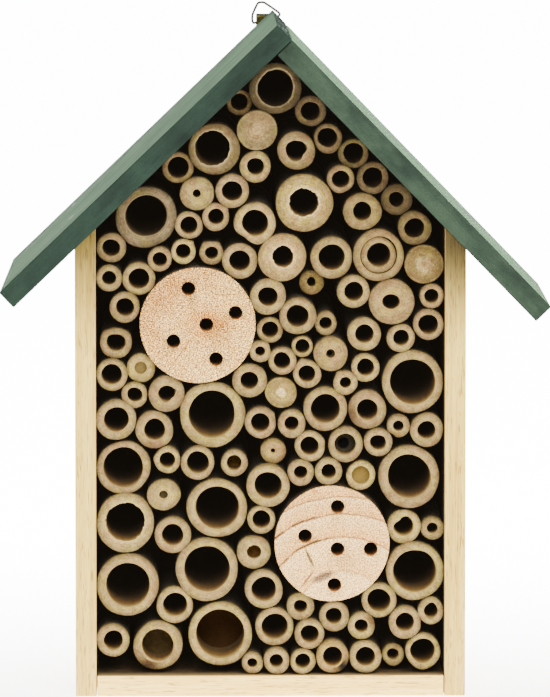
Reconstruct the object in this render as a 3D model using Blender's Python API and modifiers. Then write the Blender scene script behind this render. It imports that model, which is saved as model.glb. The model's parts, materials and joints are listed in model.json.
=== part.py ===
"""Insect hotel: a gabled wooden box packed with bamboo canes and two drilled logs.

The box stands on its base. The origin is the centre of the base's underside, the open front
faces -Y and +Z is up. All lengths are in metres; the cane list is in millimetres.
"""

import math

import bmesh
import bpy
from mathutils import Matrix, Vector

MM = 0.001

# Box
BOARD = 8.8 * MM  # thickness of the walls, the base and both roof boards
INNER_WIDTH = 146.8 * MM
BODY_DEPTH = 120 * MM
BACK_THICKNESS = 5 * MM
RIDGE_X = 2.4 * MM  # the ridge sits a little right of the centre line
RIDGE_HEIGHT = 272.0 * MM  # where the undersides of the two roof boards meet
ROOF_PITCH = math.radians(44.85)
ROOF_TURN = math.radians(1)  # both boards together sit turned, clockwise in the front view
ROOF_DEPTH = 140 * MM
LEFT_SLOPE = 152.3 * MM  # underside of each roof board, from the ridge to its eave
RIGHT_SLOPE = 155.4 * MM
EAVE_SKEW = 3.5 * MM  # the boards' lower ends are cut out of square, both towards +X at the back
GAP = 0.3 * MM  # between pieces that touch

# Filling
CANE_GAP = 0.4 * MM  # between neighbouring canes
CANE_END_WALL = 4 * MM  # the node that closes each cane at its back
LOG_DIAMETER = 48.4 * MM
LOG_RECESS = 3 * MM
LOG_HOLE = 5.5 * MM
LOG_HOLE_DEPTH = 75 * MM
NARROWING = 0.06  # a cane in a tight place is at most this share narrower than its reading
INDIVIDUAL_FROM = 19.5 * MM  # canes this wide or wider are nodes of their own
BUNDLE_SIZE = 8  # most canes in one glued bundle
GLUE_REACH = 6 * MM  # widest gap that a glue bead closes
GLUE_WIDTH = 2.4 * MM
GLUE_LENGTH = 12 * MM
GLUE_BITE = 0.8 * MM  # how far a bead reaches into each cane's wall

# Fasteners and hanger
NAIL_LENGTH = 20 * MM
NAIL_SHANK = 1.6 * MM
NAIL_HEAD = 3.4 * MM
NAIL_HEAD_DEPTH = 0.8 * MM
STRAP_WIDTH = 9.0 * MM
STRAP_SHEET = 0.5 * MM
STRAP_HEIGHT = 11.6 * MM
STRAP_X = 0.0
LOOP_HEIGHT = 280.0 * MM  # centre of the loop folded into the strap's upper end
LOOP_RADIUS = 0.95 * MM  # inside the loop, front to back
LOOP_STRAIGHT = 2.5 * MM  # the loop is taller than it is deep by this much
RING_WIRE = 1.1 * MM
RING_TILT = math.radians(16.5)
# The ring's centre line, bent by hand: distance along and above its bar in mm.
RING_OUTLINE = [
    (4.9, 0), (5.6, 0.25), (5.9, 0.9), (5.6, 2.2), (5.0, 3.5), (1.6, 7.3), (0.8, 7.8),
    (-1.4, 7.8), (-2.2, 7.4), (-5.3, 3.6), (-5.9, 2.2), (-6.0, 0.9), (-5.7, 0.25), (-5.0, 0),
]

INNER_HALF = INNER_WIDTH / 2
OUTER_HALF = INNER_HALF + BOARD
BODY_FRONT = -BODY_DEPTH / 2
BODY_BACK = BODY_DEPTH / 2
PANEL_FRONT = BODY_BACK - BACK_THICKNESS
WALL_BACK = PANEL_FRONT - GAP
RIDGE = Vector((RIDGE_X, RIDGE_HEIGHT))

WOOD = (0.80, 0.66, 0.44)
GREEN = (0.08, 0.20, 0.13)
CANE = (0.70, 0.57, 0.36)
LOG = (0.80, 0.63, 0.46)
BRASS = (0.55, 0.45, 0.22)
STEEL = (0.45, 0.45, 0.43)

# Canes, front view: x, z of the centre, outer diameter, bore, how far the mouth lies behind the
# front edges, and how deep the bore is where a node closes it early. A bore of 0 is a solid end.
CANES = [
    # under the ridge
    (2.4, 256.7, 21.2, 14.8, 8), (-13.2, 250.6, 10.8, 7.0, 14), (17.0, 246.8, 13.1, 7.8, 9),
    (-5.5, 239.0, 16.6, 0, 6), (24.3, 236.0, 12.6, 8.0, 8), (-23.5, 231.0, 21.6, 14.3, 7),
    (11.0, 230.3, 15.9, 8.6, 7), (35.0, 229.0, 12.8, 8.3, 8), (-6.3, 223.3, 13.0, 7.1, 6),
    (-39.0, 223.0, 13.5, 8.7, 8), (43.1, 218.7, 14.2, 8.3, 8), (29.8, 218.3, 11.3, 7.2, 5),
    # between the eaves
    (-16.0, 213.0, 13.9, 8.4, 4), (-31.0, 212.3, 14.2, 3.6, 5), (53.4, 209.6, 13.4, 6.2, 10),
    (14.4, 208.0, 23.2, 11.8, 3), (38.9, 204.7, 15.8, 7.8, 7), (-23.0, 202.2, 11.7, 6.6, 5),
    (-52.3, 201.9, 25.2, 17.0, 9), (-6.5, 200.0, 17.0, 10.8, 3), (-34.2, 199.0, 11.6, 7.2, 6),
    (60.8, 197.6, 14.3, 8.2, 8), (-67.0, 189.4, 12.3, 7.2, 8), (-36.9, 187.8, 10.7, 6.2, 5),
    (-24.7, 187.0, 10.6, 5.4, 9), (45.8, 186.2, 21.2, 15.2, 6), (5.0, 185.0, 20.0, 8.8, 3),
    (25.8, 185.0, 17.6, 10.8, 8), (-46.8, 184.2, 10.4, 6.0, 5), (-12.7, 183.3, 15.3, 8.6, 6),
    (64.8, 182.3, 16.3, 0, 7),
    # beside the upper log
    (-68.1, 176.5, 10.5, 5.9, 5), (-55.5, 176.3, 14.5, 8.6, 6), (17.6, 174.0, 10.9, 3.9, 16),
    (35.0, 171.0, 13.6, 8.0, 5), (-0.9, 168.8, 15.4, 8.1, 4), (68.4, 169.1, 10.1, 6.0, 5),
    (51.1, 166.6, 19.2, 7.0, 5), (-61.2, 164.3, 12.7, 7.5, 5), (11.7, 160.3, 15.5, 9.2, 4),
    (66.7, 157.0, 12.8, 8.2, 5), (23.2, 156.9, 10.0, 5.2, 13), (-0.3, 154.3, 11.2, 6.8, 8),
    (39.5, 153.0, 13.9, 7.8, 5), (55.0, 151.2, 11.9, 6.7, 6), (-65.0, 149.3, 13.3, 7.6, 8),
    (13.2, 147.5, 9.4, 6.0, 6), (-4.2, 146.0, 9.1, 4.2, 4), (25.4, 144.3, 14.7, 4.0, 5, 5),
    (4.5, 141.7, 11.9, 7.0, 4), (40.1, 138.4, 11.9, 7.2, 4), (-54.5, 138.0, 11.6, 5.3, 7, 2.5),
    (15.0, 136.6, 12.1, 7.0, 4), (-67.0, 135.8, 13.5, 8.5, 5), (-8.7, 133.5, 14.2, 7.4, 4),
    (60.0, 132.6, 26.3, 18.6, 7), (32.0, 132.2, 10.4, 4.8, 4), (4.5, 128.2, 13.0, 0, 6),
    # between the two logs
    (-44.2, 127.6, 14.5, 7.0, 5), (-57.7, 127.0, 10.9, 6.2, 5), (23.3, 121.2, 18.6, 12.0, 5),
    (41.0, 120.7, 16.3, 8.7, 7), (-24.5, 119.0, 27.0, 19.2, 6), (-65.0, 116.5, 17.6, 10.3, 4),
    (-4.2, 115.8, 13.0, 7.8, 3), (9.0, 115.2, 12.3, 6.0, 4), (54.5, 114.0, 9.4, 4.5, 5),
    (66.5, 112.3, 14.0, 7.5, 6), (-49.3, 112.3, 15.8, 8.9, 5), (45.5, 107.3, 12.2, 6.5, 4),
    (31.7, 106.3, 15.0, 8.8, 5, 9), (17.0, 105.7, 12.9, 7.7, 4), (1.3, 103.2, 11.2, 2.2, 9),
    (-43.3, 100.0, 11.6, 6.6, 4), (-30.7, 98.7, 14.8, 9.2, 4), (-15.2, 98.5, 11.1, 6.3, 5, 14),
    (-62.0, 96.9, 22.8, 16.4, 6), (24.5, 95.0, 11.7, 6.2, 4), (12.8, 94.5, 11.2, 5.6, 4),
    (38.2, 93.0, 12.1, 7.5, 6, 4),
    # beside the lower log
    (58.5, 92.4, 25.9, 17.8, 6), (-1.0, 89.0, 17.9, 11.2, 4), (-45.0, 85.0, 13.4, 3.8, 5, 4),
    (-22.5, 79.4, 24.9, 17.8, 5), (-3.8, 74.5, 11.8, 7.5, 4), (-61.3, 73.0, 24.7, 16.0, 5),
    (57.0, 71.1, 13.9, 8.0, 7), (68.6, 70.5, 9.8, 4.6, 10), (-41.5, 68.0, 15.7, 9.0, 5),
    (-7.0, 60.4, 14.1, 6.0, 7, 12), (-26.7, 53.3, 26.2, 18.8, 5), (61.1, 52.5, 24.6, 17.6, 6),
    (-60.5, 46.7, 26.1, 18.0, 6), (-2.8, 44.8, 16.5, 10.2, 5), (46.2, 40.0, 15.0, 9.6, 5),
    (-40.4, 38.1, 16.1, 9.9, 6), (13.0, 37.9, 11.8, 5.6, 6), (68.3, 35.8, 10.6, 6.2, 4),
    # lowest rows
    (27.0, 33.2, 12.6, 6.8, 5), (57.1, 30.8, 13.8, 7.7, 4), (38.5, 29.3, 11.8, 5.7, 4),
    (2.0, 29.0, 16.8, 10.8, 6), (16.6, 26.3, 12.8, 7.5, 3), (-21.2, 25.7, 26.7, 20.0, 6, 30),
    (-67.0, 23.9, 13.9, 8.1, 4), (-47.5, 21.0, 20.6, 13.2, 7, 20), (64.6, 18.3, 15.1, 10.2, 6),
    (52.2, 16.5, 9.6, 4.9, 13), (26.2, 16.3, 14.1, 8.1, 2), (40.1, 16.2, 14.2, 8.1, 3),
    (2.6, 14.7, 11.1, 5.7, 2), (13.7, 14.3, 10.7, 6.3, 2), (-7.6, 13.5, 8.8, 4.2, 3),
]
# A narrower cane that stands inside the wide one beside the right eave.
NESTED_AT = (45.8, 186.2)
NESTED_OUTER = 14.4 * MM
NESTED_BORE = 9.8 * MM

# Logs, front view: x, z of the centre, then x, z of each drilled hole from that centre.
LOGS = {
    "log_upper": ((-30.8, 156.8), [(-3.9, 15.4), (15.9, 5.2), (3.6, 0.2), (-10.2, -6.8), (7.7, -14.3)]),
    "log_lower": ((25.9, 64.4), [(2.4, 15.6), (-11.3, 3.2), (2.4, -2.4), (16.4, -2.4), (1.1, -17.6)]),
}

FRONT_VIEW = Matrix.Rotation(math.pi / 2, 4, "X")  # turns an outline in XY upright, into XZ


# Scene helpers


def empty_scene():
    for thing in list(bpy.data.objects):
        bpy.data.objects.remove(thing, do_unlink=True)


def new_collection(name, hidden=False):
    collection = bpy.data.collections.new(name)
    collection.hide_render = hidden
    bpy.context.scene.collection.children.link(collection)
    return collection


def material(name, colour, roughness, metallic=0.0):
    made = bpy.data.materials.new(name)
    made.use_nodes = True
    shader = made.node_tree.nodes["Principled BSDF"]
    shader.inputs["Base Color"].default_value = (*colour, 1)
    shader.inputs["Roughness"].default_value = roughness
    shader.inputs["Metallic"].default_value = metallic
    return made


def place(name, data, finish, matrix=None):
    """Links a new object to the model, with its material."""
    made = bpy.data.objects.new(name, data)
    if matrix is not None:
        made.matrix_world = matrix
    if finish:
        data.materials.append(finish)
    MODEL.objects.link(made)
    return made


def place_cutter(name, data, matrix=None):
    made = bpy.data.objects.new(name, data)
    if matrix is not None:
        made.matrix_world = matrix
    made.hide_render = True
    made.display_type = "WIRE"
    CUTTERS.objects.link(made)
    return made


def mesh_from(name, work):
    """A mesh with its flat faces sharp against each other and its round ones smooth."""
    bmesh.ops.recalc_face_normals(work, faces=work.faces)
    mesh = bpy.data.meshes.new(name)
    work.to_mesh(mesh)
    work.free()
    mesh.shade_smooth()
    mesh.set_sharp_from_angle(angle=math.radians(40))
    return mesh


def boolean(target, other, operation="DIFFERENCE"):
    modifier = target.modifiers.new(other.name, "BOOLEAN")
    modifier.operation = operation
    modifier.solver = "EXACT"
    modifier.object = other


def outline_curve(name, outlines, thickness):
    """A flat outline, with any holes, as a 2D curve of this thickness."""
    curve = bpy.data.curves.new(name, "CURVE")
    curve.dimensions = "2D"
    curve.fill_mode = "BOTH"
    curve.extrude = thickness / 2
    for points in outlines:
        spline = curve.splines.new("POLY")
        spline.points.add(len(points) - 1)
        for point, (x, y) in zip(spline.points, points):
            point.co = (x, y, 0, 1)
        spline.use_cyclic_u = True
    return curve


def mesh_of_curve(curve, matrix):
    """The curve as a closed mesh in world space, with its caps welded on."""
    guide = bpy.data.objects.new(curve.name, curve)
    bpy.context.scene.collection.objects.link(guide)
    bpy.context.view_layer.update()
    evaluated = guide.evaluated_get(bpy.context.evaluated_depsgraph_get())
    mesh = bpy.data.meshes.new_from_object(evaluated)
    bpy.data.objects.remove(guide)
    work = bmesh.new()
    work.from_mesh(mesh)
    bmesh.ops.remove_doubles(work, verts=work.verts, dist=0.01 * MM)
    bmesh.ops.transform(work, matrix=matrix, verts=work.verts)
    bmesh.ops.recalc_face_normals(work, faces=work.faces)
    work.to_mesh(mesh)
    work.free()
    return mesh


def front_board(name, outline, front, back, finish):
    """A board with this outline in the front view, from the front Y to the back Y."""
    curve = outline_curve(name, [outline], back - front)
    upright = Matrix.Translation((0, (front + back) / 2, 0)) @ FRONT_VIEW
    return place(name, mesh_of_curve(curve, upright), finish)


def add_cylinder(work, radius, length, matrix, segments):
    bmesh.ops.create_cone(
        work, cap_ends=True, segments=segments, radius1=radius, radius2=radius, depth=length, matrix=matrix
    )


# Box


def pitch(side):
    """Slope of the roof on the left (-1) or the right (+1)."""
    return ROOF_PITCH + side * ROOF_TURN


def underside(x):
    """Height of the roof's underside at this x."""
    side = math.copysign(1, x - RIDGE_X)
    return RIDGE_HEIGHT - abs(x - RIDGE_X) * math.tan(pitch(side))


def down_slope(side):
    return Vector((side * math.cos(pitch(side)), -math.sin(pitch(side))))


def outward(side):
    return Vector((side * math.sin(pitch(side)), math.cos(pitch(side))))


def make_wall(name, side, finish):
    inner, outer = side * INNER_HALF, side * OUTER_HALF
    drop = GAP / math.cos(pitch(side))
    outline = [(inner, 0), (outer, 0), (outer, underside(outer) - drop), (inner, underside(inner) - drop)]
    return front_board(name, outline, BODY_FRONT, WALL_BACK, finish)


def make_base(finish):
    half = INNER_HALF - GAP
    outline = [(-half, 0), (half, 0), (half, BOARD), (-half, BOARD)]
    return front_board("base_board", outline, BODY_FRONT, WALL_BACK, finish)


def make_back(finish):
    drop = GAP / math.cos(pitch(1))
    top = [(x, underside(x) - drop) for x in (OUTER_HALF, RIDGE_X, -OUTER_HALF)]
    outline = [(-OUTER_HALF, 0), (OUTER_HALF, 0), *top]
    return front_board("back_panel", outline, PANEL_FRONT, BODY_BACK, finish)


def make_roof_board(name, side, start, length, finish):
    """A roof board as a turned box: start is how far its upper end lies down the slope from the ridge."""
    middle = RIDGE + down_slope(side) * (start + length / 2) + outward(side) * (BOARD / 2)
    turn = Matrix.Rotation(side * pitch(side), 4, "Y")
    centre = Vector((middle.x, BODY_BACK - ROOF_DEPTH / 2, middle.y))
    work = bmesh.new()
    bmesh.ops.create_cube(work, size=1, matrix=Matrix.Diagonal((length, ROOF_DEPTH, BOARD, 1)))
    corners = [vert for vert in work.verts if side * vert.co.x > 0 and vert.co.y > 0]
    bmesh.ops.translate(work, vec=(EAVE_SKEW, 0, 0), verts=corners)
    return place(name, mesh_from(name, work), finish, Matrix.Translation(centre) @ turn)


# Nails


def nail_profile(name, length, clearance=0.0):
    """Half outline of a nail along +Z with its tip at the origin, from the head down."""
    shank = NAIL_SHANK / 2 + clearance
    head = NAIL_HEAD / 2 + clearance
    top = length + (2 * MM if clearance else 0)
    shoulder = length - NAIL_HEAD_DEPTH - clearance
    outline = [(0, top), (head, top), (head, shoulder), (shank, shoulder)]
    outline += [(shank, 1.5 * MM - clearance), (0, -clearance)]
    work = bmesh.new()
    points = [work.verts.new((radius, 0, height)) for radius, height in outline]
    for pair in zip(points, points[1:]):
        work.edges.new(pair)
    mesh = bpy.data.meshes.new(name)
    work.to_mesh(mesh)
    work.free()
    return mesh


def turn_profile(target, steps):
    """Turns a half outline about its own Z axis."""
    screw = target.modifiers.new("Turned", "SCREW")
    screw.axis = "Z"
    screw.steps = steps
    screw.render_steps = steps
    screw.use_merge_vertices = True
    screw.merge_threshold = 0.01 * MM


def drive_nail(name, head_at, direction, boards, finish, length=NAIL_LENGTH):
    """A nail with its head's top at head_at and its shank along direction, and its hole in each board."""
    turn = (-direction).to_track_quat("Z", "Y").to_matrix().to_4x4()
    matrix = Matrix.Translation(head_at + direction * length) @ turn
    turn_profile(place(name, nail_profile(name, length), finish, matrix), 8)
    hole = place_cutter("hole_for_" + name, nail_profile("hole_for_" + name, length, GAP), matrix)
    turn_profile(hole, 8)
    for board in boards:
        boolean(board, hole)


def nail_roof(side, name, roof, wall, finish):
    """Two nails through a roof board into the top end of the wall under it."""
    wall_middle = side * (INNER_HALF + BOARD / 2)
    foot = Vector((wall_middle, underside(wall_middle)))
    top = foot + outward(side) * BOARD
    inward = -outward(side)
    for end, y in (("front", -38 * MM), ("back", 34 * MM)):
        head = Vector((top.x, y, top.y))
        drive_nail(f"{name}_{end}", head, Vector((inward.x, 0, inward.y)), (roof, wall), finish, 14 * MM)


def nail_back(panel, walls, finish):
    """Four nails through the back panel into the rear edges of the walls."""
    x = INNER_HALF + BOARD / 2
    for side, wall in walls.items():
        for level, z in (("low", 25 * MM), ("high", 165 * MM)):
            name = f"back_nail_{'left' if side < 0 else 'right'}_{level}"
            drive_nail(name, Vector((side * x, BODY_BACK, z)), Vector((0, -1, 0)), (panel, wall), finish)


def nail_base(base, walls, finish):
    """One nail through each wall into the end of the base board."""
    for side, wall in walls.items():
        name = f"base_nail_{'left' if side < 0 else 'right'}"
        head = Vector((side * OUTER_HALF, 0, BOARD / 2))
        drive_nail(name, head, Vector((-side, 0, 0)), (wall, base), finish)


# Filling


class Round:
    """A cane or a log: where it stands in the front view, and its radius."""

    def __init__(self, name, x, z, diameter):
        self.name = name
        self.at = Vector((x, z))
        self.radius = diameter / 2


def narrow(pieces):
    """Makes canes that would overlap a little narrower, so that they stay where they are."""
    least = {piece: piece.radius * (1 - NARROWING) for piece in pieces}
    for index, one in enumerate(pieces):
        for other in pieces[index + 1:]:
            overlap = gap_between(one, other) - CANE_GAP
            if overlap < 0:
                one.radius = max(least[one], one.radius + overlap / 2)
                other.radius = max(least[other], other.radius + overlap / 2)


def push_inside(piece):
    """Moves a piece back between the walls, over the base and under the roof."""
    room = piece.radius + CANE_GAP
    piece.at.x = min(max(piece.at.x, room - INNER_HALF), INNER_HALF - room)
    piece.at.y = max(piece.at.y, BOARD + room)
    for side in (-1, 1):
        too_high = (piece.at - RIDGE).dot(outward(side)) + room
        if too_high > 0:
            piece.at -= outward(side) * too_high


def settle(pieces, rounds=600):
    """Pushes overlapping pieces apart until each has its gap. The wider a piece, the less it moves."""
    for _ in range(rounds):
        for index, one in enumerate(pieces):
            for other in pieces[index + 1:]:
                apart = other.at - one.at
                overlap = one.radius + other.radius + CANE_GAP - apart.length
                if overlap <= 0:
                    continue
                share = one.radius**2 / (one.radius**2 + other.radius**2)
                step = apart.normalized() * overlap
                one.at -= step * (1 - share)
                other.at += step * share
        for piece in pieces:
            push_inside(piece)


def add_cane(work, cane):
    """A cane closed by a node at its back: a cylinder whose front face is inset and pushed in."""
    front = BODY_FRONT + cane.recess
    length = PANEL_FRONT - GAP - front
    along_y = Matrix.Translation((cane.at.x, front + length / 2, cane.at.y)) @ FRONT_VIEW
    add_cylinder(work, cane.radius, length, along_y, cane.segments)
    if not cane.bore:
        return
    mouth = [face for face in work.faces if len(face.verts) == cane.segments][-2:]
    mouth = min(mouth, key=lambda face: face.calc_center_median().y)
    bmesh.ops.inset_region(work, faces=[mouth], thickness=cane.radius - cane.bore / 2, use_even_offset=True)
    floor = bmesh.ops.extrude_discrete_faces(work, faces=[mouth])["faces"][0]
    depth = min(cane.bore_depth or length, length - CANE_END_WALL)
    bmesh.ops.translate(work, vec=(0, depth, 0), verts=floor.verts)


def cane_segments(diameter):
    return 12 if diameter < 12 * MM else 14 if diameter < INDIVIDUAL_FROM else 18


def read_canes():
    """The canes of the list as pieces with a bore, a recess and a number of sides."""
    canes = []
    for index, row in enumerate(CANES):
        x, z, outer, bore, recess, *depth = (value * MM for value in row)
        cane = Round(f"cane_{index + 1:03d}", x, z, outer)
        cane.bore, cane.recess, cane.bore_depth = bore, recess, (depth or [0])[0]
        cane.segments = cane_segments(outer)
        canes.append(cane)
    return canes


def gap_between(one, other):
    return (other.at - one.at).length - one.radius - other.radius


def next_to_join(bundle, free):
    """The free cane nearest to the bundle, with the member it would be glued to."""
    pairs = [(gap_between(member, cane), member, cane) for member in bundle for cane in free]
    return min(pairs, key=lambda pair: pair[0], default=None)


def bundle_canes(canes):
    """Groups neighbouring canes into bundles, each with the pairs that are glued."""
    free, bundles = list(canes), []
    while free:
        bundle, glued = [free.pop(0)], []
        while len(bundle) < BUNDLE_SIZE:
            pair = next_to_join(bundle, free)
            if pair is None or pair[0] > GLUE_REACH:
                break
            bundle.append(pair[2])
            glued.append(pair[1:])
            free.remove(pair[2])
        bundles.append((bundle, glued))
    return bundles


def add_glue(work, one, other):
    """A bead of glue between two neighbours, near their back ends."""
    apart = other.at - one.at
    middle = one.at + apart.normalized() * (one.radius + gap_between(one, other) / 2)
    size = (gap_between(one, other) + 2 * GLUE_BITE, GLUE_LENGTH, GLUE_WIDTH)
    turn = Matrix.Rotation(-math.atan2(apart.y, apart.x), 4, "Y")
    centre = Matrix.Translation((middle.x, WALL_BACK - GLUE_LENGTH, middle.y))
    bmesh.ops.create_cube(work, size=1, matrix=centre @ turn @ Matrix.Diagonal((*size, 1)))


def make_bundle(name, canes, glued, finish):
    work = bmesh.new()
    for cane in canes:
        add_cane(work, cane)
    made = place(name, mesh_from(name, work), finish)
    if glued:
        beads = bmesh.new()
        for one, other in glued:
            add_glue(beads, one, other)
        boolean(made, place_cutter("glue_of_" + name, mesh_from("glue_of_" + name, beads)), "UNION")
    return made


def make_nested_cane(around, finish):
    """The narrower cane inside a wide one."""
    inner = Round("nested_cane", around.at.x, around.at.y, NESTED_OUTER)
    inner.bore, inner.recess, inner.bore_depth, inner.segments = NESTED_BORE, around.recess + 1 * MM, 0, 14
    work = bmesh.new()
    add_cane(work, inner)
    shorten = [vert for vert in work.verts if vert.co.y > PANEL_FRONT - CANE_END_WALL - 2 * MM]
    bmesh.ops.translate(work, vec=(0, -CANE_END_WALL - GAP, 0), verts=shorten)
    return place("nested_cane", mesh_from("nested_cane", work), finish)


def make_log(log, holes, finish):
    """A turned log with blind holes drilled into its end grain."""
    front = BODY_FRONT + LOG_RECESS
    length = PANEL_FRONT - GAP - front
    work = bmesh.new()
    along_y = Matrix.Translation((log.at.x, front + length / 2, log.at.y)) @ FRONT_VIEW
    add_cylinder(work, log.radius, length, along_y, 32)
    made = place(log.name, mesh_from(log.name, work), finish)
    drills = bmesh.new()
    for x, z in holes:
        tip = Matrix.Translation((log.at.x + x * MM, front + LOG_HOLE_DEPTH / 2 - 1 * MM, log.at.y + z * MM))
        add_cylinder(drills, LOG_HOLE / 2, LOG_HOLE_DEPTH + 2 * MM, tip @ FRONT_VIEW, 12)
    boolean(made, place_cutter("drills_of_" + log.name, mesh_from("drills_of_" + log.name, drills)))


def fill_box(cane_finish, log_finish):
    canes = read_canes()
    logs = {name: Round(name, x * MM, z * MM, LOG_DIAMETER) for name, ((x, z), _) in LOGS.items()}
    narrow(canes)
    settle(canes + list(logs.values()))
    nested_at = Vector(NESTED_AT) * MM
    for name, log in logs.items():
        make_log(log, LOGS[name][1], log_finish)
    wide = [cane for cane in canes if cane.radius * 2 >= INDIVIDUAL_FROM]
    for number, cane in enumerate(wide, 1):
        make_bundle(f"wide_cane_{number:02d}", [cane], [], cane_finish)
    make_nested_cane(min(canes, key=lambda cane: (cane.at - nested_at).length), cane_finish)
    others = [cane for cane in canes if cane not in wide]
    for number, (bundle, glued) in enumerate(bundle_canes(others), 1):
        make_bundle(f"cane_bundle_{number:02d}", bundle, glued, cane_finish)


# Hanger


def obround(centre, radius, straight, steps=6):
    """Outline of an upright slot with rounded ends."""
    points = []
    for end in (1, -1):
        for step in range(steps + 1):
            angle = math.pi * (step / steps + (0 if end > 0 else 1))
            spoke = Vector((math.cos(angle), math.sin(angle))) * radius
            points.append(centre + Vector((0, end * straight / 2)) + spoke)
    return points


def loop_centre():
    """Side view of the loop's centre, as Y and Z."""
    return Vector((BODY_BACK + GAP + STRAP_SHEET + LOOP_RADIUS, LOOP_HEIGHT))


def make_strap(finish):
    """A strip of sheet folded into a loop at its top, with both ends flat against the roof."""
    side_view = Matrix.Translation((STRAP_X, 0, 0)) @ Matrix(
        ((0, 0, 1, 0), (1, 0, 0, 0), (0, 1, 0, 0), (0, 0, 0, 1))
    )
    centre, outer = loop_centre(), LOOP_RADIUS + STRAP_SHEET
    loop = obround(centre, outer, LOOP_STRAIGHT)
    front, bottom = BODY_BACK + GAP, LOOP_HEIGHT + LOOP_STRAIGHT / 2 + outer - STRAP_HEIGHT
    tail_top = LOOP_HEIGHT - LOOP_STRAIGHT / 2 - LOOP_RADIUS
    turned = [point for point in loop if point.y > tail_top or point.x > centre.x]
    start = turned.index(min(turned, key=lambda point: (point.x, point.y)))
    outline = turned[:start + 1]
    outline += [Vector((front, bottom)), Vector((front + 2 * STRAP_SHEET, bottom))]
    outline += [point for point in turned[start + 1:] if point.x > front + 2 * STRAP_SHEET]
    hollow = obround(centre, LOOP_RADIUS, LOOP_STRAIGHT)
    curve = outline_curve("hanger_strap", [outline, hollow], STRAP_WIDTH)
    return place("hanger_strap", mesh_of_curve(curve, side_view), finish)


def make_ring(finish):
    """The wire ring, with its origin on the base bar that it swings about."""
    curve = bpy.data.curves.new("hanger_ring", "CURVE")
    curve.dimensions = "3D"
    curve.bevel_depth = RING_WIRE / 2
    curve.bevel_resolution = 2
    spline = curve.splines.new("POLY")
    spline.points.add(len(RING_OUTLINE) - 1)
    for point, (x, y) in zip(spline.points, RING_OUTLINE):
        point.co = (x * MM, y * MM, 0, 1)
    spline.use_cyclic_u = True
    pivot = Matrix.Translation((STRAP_X, *loop_centre()))
    place("hanger_ring", curve, finish, pivot @ Matrix.Rotation(-RING_TILT, 4, "Y") @ FRONT_VIEW)


def main():
    wood = material("fir", WOOD, 0.75)
    green = material("green_stain", GREEN, 0.7)
    bamboo = material("bamboo", CANE, 0.7)
    end_grain = material("end_grain", LOG, 0.8)
    brass = material("brassed_steel", BRASS, 0.35, 1.0)
    steel = material("nail_steel", STEEL, 0.4, 1.0)

    walls = {side: make_wall(f"wall_{name}", side, wood) for side, name in ((-1, "left"), (1, "right"))}
    base = make_base(wood)
    back = make_back(wood)
    roof_left = make_roof_board("roof_board_left", -1, -BOARD, LEFT_SLOPE + BOARD, green)
    roof_right = make_roof_board("roof_board_right", 1, GAP, RIGHT_SLOPE - GAP, green)
    nail_roof(-1, "roof_nail_left", roof_left, walls[-1], steel)
    nail_roof(1, "roof_nail_right", roof_right, walls[1], steel)
    nail_back(back, walls, steel)
    nail_base(base, walls, steel)
    strap = make_strap(brass)
    make_ring(brass)
    nail_top = BODY_BACK + 2 * GAP + 2 * STRAP_SHEET + NAIL_HEAD_DEPTH
    nail_at = Vector((STRAP_X, nail_top, LOOP_HEIGHT - 5.6 * MM))
    drive_nail("hanger_nail", nail_at, Vector((0, -1, 0)), (strap, roof_left), brass, 16 * MM)
    fill_box(bamboo, end_grain)


empty_scene()
MODEL = new_collection("Insect hotel")
CUTTERS = new_collection("Cutters", hidden=True)
main()
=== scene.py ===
"""Insect hotel: the visual model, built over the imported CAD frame. Metres, +Z up, open front to -Y."""

import json
import math
import random
from collections import namedtuple

import bmesh
import bpy
from mathutils import Matrix, Vector, noise


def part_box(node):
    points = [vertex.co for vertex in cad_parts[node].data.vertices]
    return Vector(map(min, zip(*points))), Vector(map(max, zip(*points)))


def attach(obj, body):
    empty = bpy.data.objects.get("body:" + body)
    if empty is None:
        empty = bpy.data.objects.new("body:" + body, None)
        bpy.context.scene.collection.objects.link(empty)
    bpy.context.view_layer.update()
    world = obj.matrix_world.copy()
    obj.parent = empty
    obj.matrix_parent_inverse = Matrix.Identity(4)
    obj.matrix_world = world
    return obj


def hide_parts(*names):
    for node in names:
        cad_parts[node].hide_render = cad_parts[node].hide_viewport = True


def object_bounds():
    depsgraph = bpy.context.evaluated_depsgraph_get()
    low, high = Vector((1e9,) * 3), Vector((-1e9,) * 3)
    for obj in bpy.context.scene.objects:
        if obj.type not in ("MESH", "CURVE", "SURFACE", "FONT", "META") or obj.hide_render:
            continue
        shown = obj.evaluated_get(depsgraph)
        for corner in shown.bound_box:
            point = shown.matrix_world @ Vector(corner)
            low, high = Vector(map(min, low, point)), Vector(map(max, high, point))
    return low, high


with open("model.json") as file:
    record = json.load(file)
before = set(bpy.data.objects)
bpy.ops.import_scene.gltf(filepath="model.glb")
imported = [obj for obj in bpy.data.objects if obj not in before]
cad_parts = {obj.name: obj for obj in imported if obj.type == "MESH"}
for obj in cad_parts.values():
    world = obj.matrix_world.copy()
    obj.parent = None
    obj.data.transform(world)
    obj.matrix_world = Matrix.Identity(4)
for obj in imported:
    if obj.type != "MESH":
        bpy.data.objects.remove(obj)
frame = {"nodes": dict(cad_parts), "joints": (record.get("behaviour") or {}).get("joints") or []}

MM = 0.001
NODES = frame["nodes"]
CAD_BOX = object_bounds()

PITCH_DOWN = math.radians(5.48)
YAW_RIGHT = math.radians(0.9)
CAMERA_DISTANCE = 2.83  # to the plane of the walls' front edges
VIEW_HEIGHT = 294.4 * MM  # how much of that plane the camera takes in, from top to bottom
FOOT_LEFT = 1.9 * MM  # how far the foot of the base's front is left of the middle of the view
FOOT_BELOW = 146.8 * MM  # and below it

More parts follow.
